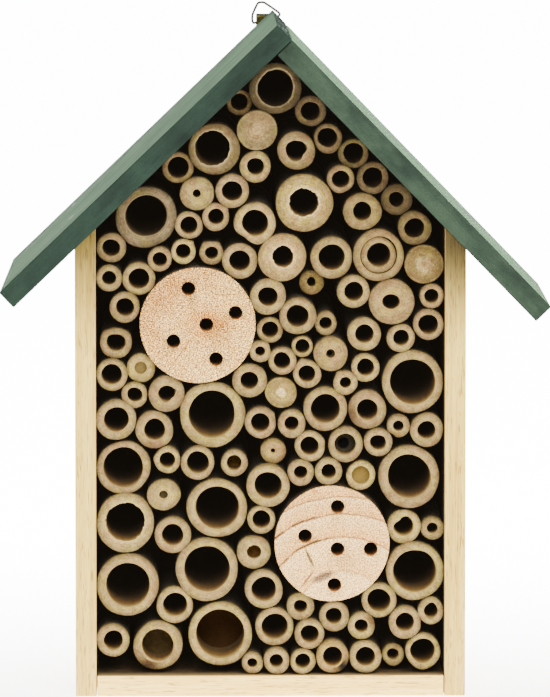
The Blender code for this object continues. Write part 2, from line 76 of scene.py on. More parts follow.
CANE_STEPS = 44  # points round a cane
FINE_STEPS = 96  # points round a log, and round a cane with a torn edge
RIM = 0.22 * MM  # rounding of a cane's outer edge
STAIN_WIDTH = 36  # of a stain on a cut, in degrees round the cane
SAME_AXIS = 0.3 * MM  # patches nearer than this, seen from the front, belong to one cane
CUT, SKIN, BORE, PITH = range(4)  # material slots of a cane


def rgb(code):
    """A hex colour as linear values."""
    values = [int(code[i:i + 2], 16) / 255 for i in (0, 2, 4)]
    return tuple(v / 12.92 if v <= 0.04045 else ((v + 0.055) / 1.055) ** 2.4 for v in values)


def blend(one, other, share):
    """A colour, or a row of numbers, part of the way from one to another."""
    return tuple(a + (b - a) * share for a, b in zip(one, other))


def angles(steps):
    """Angles evenly round a circle."""
    return [math.tau * step / steps for step in range(steps)]


def add_object(name, data):
    made = bpy.data.objects.new(name, data)
    bpy.context.scene.collection.objects.link(made)
    return made


def aim(item, direction):
    """Turns a camera or lamp to a direction."""
    item.rotation_mode = "QUATERNION"
    item.rotation_quaternion = direction.to_track_quat("-Z", "Y")


def finished(work, name, materials=()):
    """The mesh of a finished bmesh."""
    mesh = bpy.data.meshes.new(name)
    work.to_mesh(mesh)
    work.free()
    for item in materials:
        mesh.materials.append(item)
    return mesh


# Camera, lights and floor


def make_camera():
    """A camera far off, slightly above the middle of the front."""
    forward = Vector((math.sin(YAW_RIGHT), math.cos(YAW_RIGHT), 0)) * math.cos(PITCH_DOWN)
    forward.z = -math.sin(PITCH_DOWN)
    right = forward.cross(Vector((0, 0, 1))).normalized()
    up = right.cross(forward)
    lo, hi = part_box("base_board")
    foot = Vector(((lo.x + hi.x) / 2, lo.y, lo.z))
    data = bpy.data.cameras.new("camera")
    data.sensor_width = 36
    data.lens = data.sensor_width * CAMERA_DISTANCE / VIEW_HEIGHT
    data.clip_start, data.clip_end = 0.1, 30
    camera = add_object("camera", data)
    camera.location = foot + right * FOOT_LEFT + up * FOOT_BELOW - forward * CAMERA_DISTANCE
    aim(camera, forward)
    bpy.context.scene.camera = camera


def area_light(name, at, target, size, power):
    data = bpy.data.lights.new(name, "AREA")
    data.shape = "RECTANGLE"
    data.size, data.size_y = size
    data.energy = power
    light = add_object(name, data)
    light.location = at
    aim(light, Vector(target) - Vector(at))


def make_studio():
    """White surroundings, three soft lamps and a floor."""
    world = bpy.data.worlds.new("studio")
    world.use_nodes = True
    background = world.node_tree.nodes["Background"]
    background.inputs["Color"].default_value = (1, 1, 1, 1)
    background.inputs["Strength"].default_value = 1
    bpy.context.scene.world = world
    middle = (0, 0, 0.14)
    area_light("key", (0.35, -1.15, 1), middle, (0.7, 0.7), 35.5)
    area_light("front", (-0.1, -1.6, 0.78), middle, (0.8, 0.6), 33)
    area_light("top", (0.2, 0.4, 2), middle, (1.6, 1.6), 34)
    work = bmesh.new()
    bmesh.ops.create_grid(work, x_segments=1, y_segments=1, size=16)
    floor = add_object("floor", finished(work, "floor", [white_paper()]))
    floor.location.z = CAD_BOX[0].z - 0.2 * MM


def white_paper():
    """Matt white that glows a little, more so well behind the object, where it is the backdrop."""
    look = Look("paper", roughness=0.9, specular=0.1)
    look.shader.inputs["Emission Color"].default_value = (1, 1, 1, 1)
    glow = look.between(look.axis("Y"), -0.35, 0.5, 1.5, 14)
    look.put(look.shader.inputs["Emission Strength"], glow)
    look.colour = (0.95, 0.95, 0.95)
    return look.done()


# Materials


class Look:
    """A material in the making: its colour so far, and short calls for the nodes it needs."""

    def __init__(self, name, roughness=0.7, metallic=0, specular=0.3):
        self.material = bpy.data.materials.new(name)
        self.material.use_nodes = True
        self.tree = self.material.node_tree
        self.shader = self.tree.nodes["Principled BSDF"]
        self.set(self.shader, {"Roughness": roughness, "Metallic": metallic})
        self.set(self.shader, {"Specular IOR Level": specular})
        self.place = self.node("TexCoord").outputs["Object"]
        self.colour = None

    def node(self, kind, **settings):
        made = self.tree.nodes.new("ShaderNode" + kind)
        for key, value in settings.items():
            setattr(made, key, value)
        return made

    def set(self, node, values):
        for key, value in values.items():
            node.inputs[key].default_value = value

    def put(self, socket, value):
        """Links another node's output to a socket, or sets it to a number or a colour."""
        if isinstance(value, bpy.types.NodeSocket):
            self.tree.links.new(value, socket)
        elif isinstance(value, str):
            socket.default_value = (*rgb(value), 1)
        elif isinstance(value, tuple):
            socket.default_value = (*value, 1)
        else:
            socket.default_value = value

    def axis(self, name):
        """One coordinate of the place on the object."""
        parts = self.node("SeparateXYZ")
        self.put(parts.inputs[0], self.place)
        return parts.outputs[name]

    def stretched(self, scale, turn=(0, 0, 0)):
        """The place on the object, turned and then scaled, alike or for each axis."""
        turned = self.node("Mapping")
        self.put(turned.inputs["Vector"], self.place)
        turned.inputs["Rotation"].default_value = turn
        scaled = self.node("Mapping")
        self.put(scaled.inputs["Vector"], turned.outputs[0])
        scaled.inputs["Scale"].default_value = scale if isinstance(scale, tuple) else (scale, scale, scale)
        return scaled.outputs[0]

    def noise(self, scale, turn=(0, 0, 0), **settings):
        return self.noise_at(self.stretched(scale, turn), **settings)

    def noise_at(self, vector, detail=3, rough=0.55, distortion=0):
        made = self.node("TexNoise")
        self.put(made.inputs["Vector"], vector)
        self.set(made, {"Scale": 1, "Detail": detail, "Roughness": rough, "Distortion": distortion})
        return made.outputs["Fac"]

    def cells(self, scale):
        """Distance from the middle of the nearest of many small cells."""
        made = self.node("TexVoronoi")
        self.put(made.inputs["Vector"], self.stretched(scale))
        made.inputs["Scale"].default_value = 1
        return made.outputs["Distance"]

    def ramp(self, value, *stops):
        """A number or colour that changes between stops, each a place and a value."""
        made = self.node("ValToRGB")
        self.put(made.inputs["Fac"], value)
        marks = made.color_ramp.elements
        while len(marks) < len(stops):
            marks.new(0.5)
        for mark, (at, level) in zip(marks, stops):
            level = rgb(level) if isinstance(level, str) else level
            mark.position = at
            mark.color = (*level, 1) if isinstance(level, tuple) else (level, level, level, 1)
        return made.outputs["Color"]

    def rise(self, value, start, end, top=1):
        return self.ramp(value, (start, 0), (end, top))

    def fall(self, value, start, end, top=1):
        return self.ramp(value, (start, top), (end, 0))

    def math(self, operation, one, other=0):
        made = self.node("Math", operation=operation)
        self.put(made.inputs[0], one)
        self.put(made.inputs[1], other)
        return made.outputs[0]

    def plus(self, one, other):
        return self.math("ADD", one, other)

    def times(self, one, other):
        return self.math("MULTIPLY", one, other)

    def between(self, value, start, end, low=0, high=1, smooth=True):
        """The value mapped from start..end to low..high, and held there outside them."""
        made = self.node("MapRange", interpolation_type="SMOOTHSTEP" if smooth else "LINEAR")
        self.put(made.inputs["Value"], value)
        self.set(made, {"From Min": start, "From Max": end, "To Min": low, "To Max": high})
        return made.outputs["Result"]

    def mix(self, share, one, other, blend="MIX"):
        made = self.node("Mix", data_type="RGBA", blend_type=blend)
        self.put(made.inputs["Factor"], share)
        self.put(made.inputs["A"], one)
        self.put(made.inputs["B"], other)
        return made.outputs["Result"]

    def cover(self, share, other):
        """Another colour over the one so far, where share is 1."""
        self.colour = self.mix(share, self.colour, other)

    def tint(self, share, factor):
        """The colour so far multiplied by a factor, where share is 1."""
        self.cover(share, self.mix(1, self.colour, factor, "MULTIPLY"))

    def attribute(self, name, output="Fac"):
        return self.node("Attribute", attribute_name=name).outputs[output]

    def bump(self, height, depth):
        """Small relief, up to a depth in metres."""
        made = self.node("Bump")
        self.set(made, {"Strength": 0.6, "Distance": depth})
        self.put(made.inputs["Height"], height)
        self.put(self.shader.inputs["Normal"], made.outputs["Normal"])

    def pair(self, one, other):
        """A place made of two values."""
        made = self.node("CombineXYZ")
        self.put(made.inputs["X"], one)
        self.put(made.inputs["Y"], other)
        return made.outputs[0]

    def spot(self, centre, at, size, turn=0, inner=0.2):
        """A soft oval patch on the front, placed in mm from a centre: 1 in its middle, 0 outside."""
        made = self.node("Mapping", vector_type="TEXTURE")
        self.put(made.inputs["Vector"], self.place)
        place = centre + Vector((at[0], 0, at[1])) * MM
        wide, tall = size[0] * MM, size[1] * MM
        self.set(made, {"Location": place, "Rotation": (0, turn, 0), "Scale": (wide, 1000, tall)})
        length = self.node("VectorMath", operation="LENGTH")
        self.put(length.inputs[0], made.outputs[0])
        return self.fall(length.outputs["Value"], inner, 1)

    def painted_glow(self):
        """A painted glow: a trace of light from within, for the depths that no lamp reaches."""
        self.set(self.shader, {"Emission Color": (1, 0.8, 0.58, 1), "Emission Strength": 0.0065})

    def done(self, roughness=None):
        """The material in its colour, with its roughness where that varies."""
        self.put(self.shader.inputs["Base Color"], self.colour)
        if roughness is not None:
            self.put(self.shader.inputs["Roughness"], roughness)
        return self.material


def shaded_wood():
    """Inside of the box: dark and mottled with painted shade, but for a narrow strip at the front."""
    look = Look("fir_inside", roughness=0.95, specular=0.05)
    look.painted_glow()
    shade_mottle = look.noise((300, 60, 300), detail=4)
    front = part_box("wall_left")[0].y
    inwards = look.between(look.axis("Y"), front + 0.2 * MM, front + 11 * MM, smooth=False)
    # painted shade: a dark mottled colour from 0.2 mm behind the front, full by 11 mm
    deep = look.ramp(shade_mottle, (0.3, "2e241a"), (0.7, "43341f"))
    look.colour = "a88c5c"
    look.cover(look.math("POWER", inwards, 0.35), deep)
    look.bump(shade_mottle, 0.2 * MM)
    return look.done()


def grain_scale(axis, along, across):
    """Scales for a texture that is drawn out along one axis."""
    return tuple(along if index == axis else across for index in range(3))


def fir(name, axis, light, middle, dark, painted_roof_shadow=()):
    """Planed fir with its grain along one axis. It may darken to a factor between two heights: the painted
    shadow of the roof on a wall's top.
    """
    look = Look(name, roughness=0.75, specular=0.15)
    bands = look.noise(grain_scale(axis, 9, 420), detail=2, distortion=0.6)
    fibres = look.noise(grain_scale(axis, 55, 2300), detail=4, rough=0.65)
    dashes = look.noise(grain_scale(axis, 130, 1500), (0.02, 0.02, 0.02), detail=2)
    patches = look.noise(grain_scale(axis, 12, 40), detail=2)
    look.colour = look.ramp(bands, (0.3, light), (0.52, middle), (0.66, dark), (0.72, middle))
    look.cover(look.rise(fibres, 0.46, 0.62, 0.85), dark)
    look.tint(look.rise(dashes, 0.58, 0.66), (0.5, 0.46, 0.38))
    look.cover(look.rise(patches, 0.35, 0.75, 0.25), light)
    if painted_roof_shadow:
        low, high, factor = painted_roof_shadow
        # painted shadow of the roof, darker towards the top
        height = look.plus(look.axis("Z"), look.times(fibres, 8 * MM))
        look.tint(look.between(height, low, high), factor)
    look.bump(look.plus(fibres, look.times(bands, 0.7)), 0.12 * MM)
    return look.done(look.ramp(fibres, (0.3, 0.66), (0.8, 0.84)))


def stain(name, side, light, middle, dark, streaky=1):
    """Stain on a roof board: cloudy, with the grain showing, and darker at the rear."""
    look = Look(name, roughness=0.8, specular=0.12)
    slope = math.radians(45 + side)  # the whole roof is turned by a degree
    turn = (0, -side * slope, 0)
    bands = look.noise((9, 70, 70), turn, detail=4, rough=0.65, distortion=0.4)
    fibres = look.noise((60, 1500, 1500), turn, detail=4, rough=0.65)
    cloud = look.noise((55, 90, 90), turn, detail=4, rough=0.6)
    grit = look.noise(1400, detail=2)
    look.colour = look.ramp(cloud, (0.34, dark), (0.52, middle), (0.68, light))
    look.cover(look.rise(bands, 0.47, 0.58, 0.8 * streaky), light)
    look.cover(look.fall(bands, 0.36, 0.46, 0.7 * streaky), dark)
    look.cover(look.rise(fibres, 0.5, 0.68, 0.6 * streaky), dark)
    look.tint(look.fall(grit, 0.36, 0.48, 0.7), (0.72, 0.74, 0.76))
    look.tint(look.rise(grit, 0.56, 0.7, 0.8), (1.25, 1.25, 1.25))
    rearwards = look.plus(look.axis("Y"), look.times(bands, 30 * MM))
    look.tint(look.between(rearwards, 52 * MM, 78 * MM), (0.42, 0.4, 0.42))
    look.bump(look.plus(fibres, bands), 0.15 * MM)
    return look.done(look.ramp(fibres, (0.3, 0.7), (0.8, 0.88)))


def stained_end():
    """End grain of the left roof board at the ridge: rough, dark and thinly stained."""
    look = Look("stained_end", roughness=1, specular=0.02)
    rough = look.noise((360, 45, 360), detail=5, rough=0.75)
    pale = look.noise((420, 30, 420), detail=4, rough=0.7)
    look.colour = look.ramp(rough, (0.4, "060907"), (0.5, "15231b"), (0.62, "2b3d31"))
    look.cover(look.rise(pale, 0.58, 0.68, 0.7), "748d76")
    look.bump(rough, 0.4 * MM)
    return look.done()


def cut_bamboo():
    """Sawn end of a cane: pale towards the bore, with dark bundles that crowd towards the skin."""
    look = Look("bamboo_cut", roughness=0.85, specular=0.12)
    across = look.attribute("across")
    look.colour = look.attribute("cut_tone", "Color")
    look.tint(1, (0.9, 0.885, 0.89))
    blotches = look.noise((300, 90, 300), rough=0.6)
    warm = look.noise((240, 72, 240), (0.4, 0.3, 0.8), detail=2)
    grit = look.noise((1500, 600, 1500), detail=4, rough=0.7)
    dots = look.cells((1300, 195, 1300))
    layers = look.noise_at(look.pair(look.times(across, 9), look.times(blotches, 3)))
    look.tint(look.fall(layers, 0.42, 0.54, 0.9), (0.72, 0.7, 0.66))
    look.tint(look.fall(blotches, 0.42, 0.56), (0.76, 0.74, 0.71))
    look.tint(look.rise(warm, 0.5, 0.6), (1.05, 0.93, 0.93))
    look.tint(look.fall(warm, 0.38, 0.47), (1.08, 1.1, 0.8))
    look.tint(look.fall(across, 0, 0.26), (1.22, 1.2, 1.12))
    look.tint(look.ramp(across, (0.4, 0), (0.72, 0.9), (0.9, 0.8)), (0.7, 0.7, 0.73))
    look.tint(look.fall(grit, 0.38, 0.48), (0.62, 0.6, 0.55))
    look.tint(look.rise(grit, 0.54, 0.64), (1.34, 1.3, 1.24))
    bundles = look.ramp(across, (0.1, 0.15), (0.8, 0.9))
    specks = look.times(look.fall(dots, 0.1, 0.3, 0.9), bundles)
    look.tint(specks, (0.46, 0.42, 0.36))
    look.tint(look.ramp(across, (0.86, 0), (0.94, 0.85), (1, 1)), (0.52, 0.52, 0.5))
    look.bump(look.math("SUBTRACT", look.plus(blotches, grit), specks), 0.12 * MM)
    return look.done()


def bamboo_skin():
    """Outside of a cane: slightly glossy, streaked lengthways, and dark further back as painted shade."""
    look = Look("bamboo_skin", roughness=0.5, specular=0.3)
    look.painted_glow()
    look.colour = look.attribute("cut_tone", "Color")
    streaks = look.noise((900, 14, 900), detail=4)
    spots = look.noise((120, 40, 120))
    look.tint(look.ramp(streaks, (0.35, 0.2), (0.7, 1)), (0.55, 0.47, 0.32))
    look.tint(look.rise(spots, 0.5, 0.72, 0.7), (0.55, 0.5, 0.42))
    # painted shade: the skin goes dark behind the mouth, fully so about 10 mm back
    look.cover(look.ramp(look.attribute("deep"), (0.02, 0), (0.25, 0.8), (0.5, 1)), "2c251b")
    look.bump(streaks, 0.08 * MM)
    return look.done(look.ramp(spots, (0.3, 0.45), (0.8, 0.65)))


def bamboo_bore():
    """Inside of a cane: pale at the mouth, then brown, and darker further in as painted shade."""
    look = Look("bamboo_bore", roughness=0.85, specular=0.1)
    look.painted_glow()
    deep = look.attribute("deep")
    mouth = look.attribute("cut_tone", "Color")
    streaks = look.noise((800, 30, 800))
    look.colour = mouth
    look.tint(1, (0.6, 0.44, 0.27))
    look.tint(look.rise(streaks, 0.3, 0.7, 0.8), (0.62, 0.52, 0.42))
    brown, look.colour = look.colour, mouth
    look.cover(look.ramp(deep, (0.02, 0), (0.1, 0.55), (0.24, 1)), brown)
    # painted shade: darker further into the bore
    look.cover(look.ramp(deep, (0.15, 0), (0.45, 0.6), (1, 0.9)), "453726")
    look.bump(streaks, 0.08 * MM)
    return look.done()


def pith():
    """What closes a cane: crumbly, with paler blots."""
    look = Look("bamboo_node", roughness=0.9, specular=0.1)
    base = look.attribute("plug_tone", "Color")
    crumbs, blots = look.noise(1500, detail=4), look.noise(380, detail=2)
    look.colour = base
    look.tint(look.rise(crumbs, 0.35, 0.7, 0.65), (0.55, 0.48, 0.4))
    look.cover(look.rise(blots, 0.45, 0.75, 0.5), look.mix(1, base, (1.2, 1.15, 1.05), "MULTIPLY"))
    look.bump(crumbs, 0.25 * MM)
    return look.done()


def heart_of(look, heart, wobble):
    """Distance from the heart of a log, slightly out of round, and angle round it."""
    across = look.math("SUBTRACT", look.axis("X"), heart.x)
    up = look.math("SUBTRACT", look.axis("Z"), heart.z)
    square = look.plus(look.times(across, across), look.times(up, up))
    uneven = look.noise((60, 0, 60), detail=2)
    off = look.times(look.math("SUBTRACT", uneven, 0.5), wobble)
    return look.plus(look.math("SQRT", square), off), look.math("ARCTAN2", across, up)


def sawn_pores(look, dark, pale):
    """Coarse speckle of cross-cut softwood."""
    coarse = look.noise((1750, 525, 1750), detail=2, rough=0.6)
    fine = look.noise((3000, 900, 3000), detail=1)
    look.tint(look.fall(coarse, 0.4, 0.49), dark)
    look.tint(look.rise(coarse, 0.52, 0.62), pale)
    look.tint(look.fall(fine, 0.38, 0.48, 0.9), dark)
    look.bump(look.plus(coarse, fine), 0.18 * MM)
    return look.done()


def upper_end_grain(centre):
    """A log sawn square through its heart: rays and an orange tinge round the heart, a pink edge."""
    look = Look("end_grain_upper", roughness=0.9, specular=0.1)
    radius, angle = heart_of(look, centre + Vector((3.5, 0, 0)) * MM, 2 * MM)
    flecks = look.noise_at(look.pair(look.times(angle, 26), look.times(radius, 420)))
    cloud = look.noise((110, 33, 110))
    look.colour = look.ramp(cloud, (0.35, "cba363"), (0.65, "bd9252"))
    look.tint(look.rise(flecks, 0.5, 0.66, 0.8), (0.74, 0.6, 0.44))
    look.tint(look.spot(centre, (-12, 15), (24, 13), -0.65), (0.8, 0.66, 0.58))  # pink edge
    look.tint(look.spot(centre, (-20, -4), (6, 13)), (0.88, 0.77, 0.64))  # pink side
    look.tint(look.fall(radius, 0.003, 0.01, 0.9), (0.84, 0.62, 0.42))  # orange
    look.tint(look.spot(centre, (10, 1), (11, 4), 0.35), (0.89, 0.76, 0.64))  # brown
    look.tint(look.spot(centre, (-7, -11.5), (11, 0.35), -0.95, 0.5), (0.55, 0.38, 0.26))  # crack
    return sawn_pores(look, (0.27, 0.26, 0.235), (2.1, 2.14, 2.14))


def lower_end_grain(centre):
    """A log cut from beside the heart of its tree, whose rings cross it as wide arcs."""
    look = Look("end_grain_lower", roughness=0.9, specular=0.1)
    radius, _ = heart_of(look, centre + Vector((4.9, 0, -32.6)) * MM, 1.6 * MM)
    share = look.math("DIVIDE", radius, 60 * MM)
    pale, tan, orange, line = rgb("dab276"), rgb("d2a668"), rgb("ca9553"), rgb("815630")
    stops = [(0, tan)]
    for at, strength in ((0.345, 0.4), (0.59, 1), (0.752, 1), (0.875, 0.9)):
        stops += [(at - 0.012, pale), (at, blend(tan, line, strength))]
        stops += [(at + 0.008, blend(tan, orange, strength)), (at + 0.085, tan)]
    look.colour = look.ramp(share, *stops)
    arcs = look.ramp(share, (0.575, 0), (0.59, 1), (0.605, 0), (0.738, 0), (0.753, 1), (0.768, 0))
    left = look.spot(centre, (-14, 4), (15, 17), 0, 0.6)
    knots = look.rise(look.noise((160, 0, 160)), 0.44, 0.5)
    look.tint(look.times(look.times(arcs, left), knots), (0.16, 0.12, 0.1))  # grey arcs
    look.tint(look.spot(centre, (-3.8, -14.2), (6.6, 2.2), -0.4, 0.45), (0.26, 0.26, 0.36))  # blotch
    look.tint(look.spot(centre, (-9.4, -6.2), (5.6, 0.8), 1.13, 0.5), (0.18, 0.19, 0.16))  # upper crack
    look.tint(look.spot(centre, (-10.2, -15), (6, 0.6), -0.9, 0.4), (0.34, 0.25, 0.2))  # lower crack
    look.tint(look.spot(centre, (-7.2, 22.2), (1.8, 0.9)), (0.8, 0.46, 0.2))  # resin
    return sawn_pores(look, (0.47, 0.45, 0.4), (1.6, 1.57, 1.5))


def drilled_hole(face_y):
    """Wall of a drilled hole: red-brown at the mouth, and darker inwards to 20 mm in, as painted shade."""
    look = Look("drilled_hole", roughness=0.85, specular=0.1)
    look.painted_glow()
    depth = look.between(look.axis("Y"), face_y, face_y + 20 * MM, smooth=False)
    rough = look.noise((900, 90, 900))
    # painted shade: darker with depth into the hole
    look.colour = look.ramp(depth, (0, "b9844a"), (0.25, "8a5a2e"), (0.9, "54371f"))
    look.tint(look.fall(rough, 0.35, 0.6, 0.8), (0.5, 0.42, 0.36))
    look.bump(rough, 0.1 * MM)
    return look.done()


def shaded_log_side():
    """Side of a log: dark with painted shade, and streaked lengthways."""
    look = Look("log_side", roughness=0.85, specular=0.15)
    look.painted_glow()
    streaks = look.noise((500, 20, 500), detail=4)
    # painted shade: dark tones on the log's side
    look.colour = look.ramp(streaks, (0.3, "4a3c2b"), (0.6, "3a2e20"), (0.8, "282017"))
    look.bump(streaks, 0.3 * MM)
    return look.done()


def metal(name, bright, dull, roughness, metallic=1):
    """Worn metal, rougher and duller in patches."""
    look = Look(name, roughness=roughness, metallic=metallic, specular=0.5)
    wear = look.noise(900, detail=4)
    scratches = look.noise((4000, 300, 300), detail=2)
    look.colour = bright
    look.cover(look.rise(wear, 0.35, 0.7), dull)
    look.bump(look.plus(wear, scratches), 0.02 * MM)
    return look.done(look.ramp(wear, (0.3, roughness), (0.75, roughness + 0.25)))


# Reading the CAD


# A patch has an outer and an inner radius, and a cane its radii, its bore's depth and its back end.
Patch = namedtuple("Patch", "centre outer inner")
Cane = namedtuple("Cane", "centre outer bore depth back")


def merged(node):
    """The mesh of a CAD node, with the corners of neighbouring faces joined."""
    work = bmesh.new()
    work.from_mesh(NODES[node].data)
    bmesh.ops.remove_doubles(work, verts=work.verts, dist=0.002 * MM)
    work.normal_update()
    return work


def grow_patch(start, waiting):
    """Takes the faces joined to the first one and level with it out of the waiting ones."""
    patch, queue = [start], [start]
    while queue:
        face = queue.pop()
        level = face.calc_center_median().y
        for other in (item for edge in face.edges for item in edge.link_faces):
            if other in waiting and abs(other.calc_center_median().y - level) < 0.05 * MM:
                waiting.discard(other)
                patch.append(other)
                queue.append(other)
    return patch


def front_patches(work):
    """Patches of the mesh that face the front."""
    waiting = {face for face in work.faces if face.normal.y < -0.99}
    patches = []
    while waiting:
        points = {vert for face in grow_patch(waiting.pop(), waiting) for vert in face.verts}
        xs, ys, zs = zip(*(vert.co for vert in points))
        centre = Vector(((min(xs) + max(xs)) / 2, min(ys), (min(zs) + max(zs)) / 2))
        reach = [flat_distance(vert.co, centre) for vert in points]
        patches.append(Patch(centre, max(reach), min(reach)))
    return sorted(patches, key=lambda item: tuple(item.centre))


def flat_distance(one, other):
    """Distance between two points as seen from the front."""
    return math.hypot(one.x - other.x, one.z - other.z)


def read_canes(node):
    """The canes of a CAD node. An open one has a patch as wide as its bore behind its mouth."""
    work = merged(node)
    back = max(vert.co.y for vert in work.verts)
    patches = front_patches(work)
    work.free()
    canes = []
    for centre, outer, inner in patches:
        if centre.y > -35 * MM or outer < 3 * MM:
            continue
        here = [item for item in patches if flat_distance(item.centre, centre) < SAME_AXIS]
        behind = [item for item in here if item.centre.y > centre.y + 1 * MM]
        floors = [item for item in behind if abs(item.outer - inner) < 0.1 * MM]
        if inner < outer * 0.97 and floors:
            canes.append(Cane(centre, outer, inner, floors[0].centre.y - centre.y, back))
        elif not any(item.centre.y < centre.y - 1 * MM for item in here):
            canes.append(Cane(centre, outer, 0, 0, back))
    return canes


# Building pieces


def replace(node, name, mesh, body="house"):
    """A piece that takes the place of a CAD node."""
    piece = add_object(name, mesh)
    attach(piece, body)
    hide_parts(node)
    return piece


class Shell:
    """Rings of points joined into one closed surface, with values for the materials."""

    def __init__(self):
        self.work = bmesh.new()
        layers = self.work.verts.layers
        self.across = layers.float.new("across")
        # deep: how far in behind a cane's mouth a point lies, by which skin and bore darken as painted
        # shade
        self.deep = layers.float.new("deep")
        self.cut_tone = layers.float_color.new("cut_tone")
        self.plug_tone = layers.float_color.new("plug_tone")

    def ring(self, points, across=0, deep=0, cut=(1, 1, 1), plug=(1, 1, 1)):
        made = []
        for point in points:
            vert = self.work.verts.new(point)
            vert[self.across] = across
            vert[self.deep] = deep
            vert[self.cut_tone] = (*cut, 1)
            vert[self.plug_tone] = (*plug, 1)
            made.append(vert)
        return made

    def recolour_plug(self, ring, plug):
        for vert in ring:
            vert[self.plug_tone] = (*plug, 1)

    def face(self, points, slot):
        made = self.work.faces.new(points)
        made.material_index = slot
        made.smooth = True

    def strip(self, one, other, slot):
        """A band of faces between two rings."""
        for corners in zip(one, one[1:] + one[:1], other[1:] + other[:1], other):
            self.face(corners, slot)

    def cap(self, ring, slot, **values):
        """A fan of faces that closes a ring."""
        middle = sum((v.co for v in ring), Vector()) / len(ring)
        tip = self.ring([middle], **values)[0]
        for one, other in zip(ring, ring[1:] + ring[:1]):
            self.face((one, other, tip), slot)

    def mesh(self, name, materials):
        """The finished mesh, with its faces turned outwards."""
        bmesh.ops.recalc_face_normals(self.work, faces=self.work.faces)
        return finished(self.work, name, materials)


def turn_between(one, other):
    """Smallest turn between two angles, in degrees."""
    return abs((one - other + 180) % 360 - 180)


class Outline:
    """A closed outline with waves, and with lumps as in the list of canes, round a mean radius."""

    def __init__(self, rng, radius, waves, lumps, steps):
        parts = [(count, size, rng.uniform(0, math.tau)) for count, size in waves]
        raw = []
        for angle in angles(steps):
            value = 1 + sum(size * math.cos(count * angle + phase) for count, size, phase in parts)
            for at, size, width in lumps:
                value += size / 100 * math.exp(-((turn_between(math.degrees(angle), at) / width) ** 2))
            raw.append(value)
        mean = sum(raw) / steps
        self.radii = [radius * value / mean for value in raw]

    def jagged(self, rng, size, teeth):
        phase = rng.uniform(0, 100)
        for index, angle in enumerate(angles(len(self.radii))):
            wave = 0.6 * abs(math.sin(angle * teeth / 2 + 1.7 * math.sin(2 * angle + phase)))
            wave += 0.8 * noise.noise((phase, 4 * math.cos(angle), 4 * math.sin(angle)))
            wave += 0.45 * noise.noise((phase, 13 * math.cos(angle), 13 * math.sin(angle)))
            self.radii[index] *= 1 - size * (0.5 - wave)

    def towards(self, other, share):
        """An outline part of the way to another."""
        made = Outline.__new__(Outline)
        made.radii = blend(self.radii, other.radii, share)
        return made

    def points(self, centre, y, grow=0, ripple=None):
        """The outline as points round a centre at a depth y, which may ripple with the angle."""
        made = []
        for radius, angle in zip(self.radii, angles(len(self.radii))):
            across, up = (radius + grow) * math.cos(angle), (radius + grow) * math.sin(angle)
            back = ripple(angle) if ripple else 0
            made.append(Vector((centre.x + across, y + back, centre.z + up)))
        return made
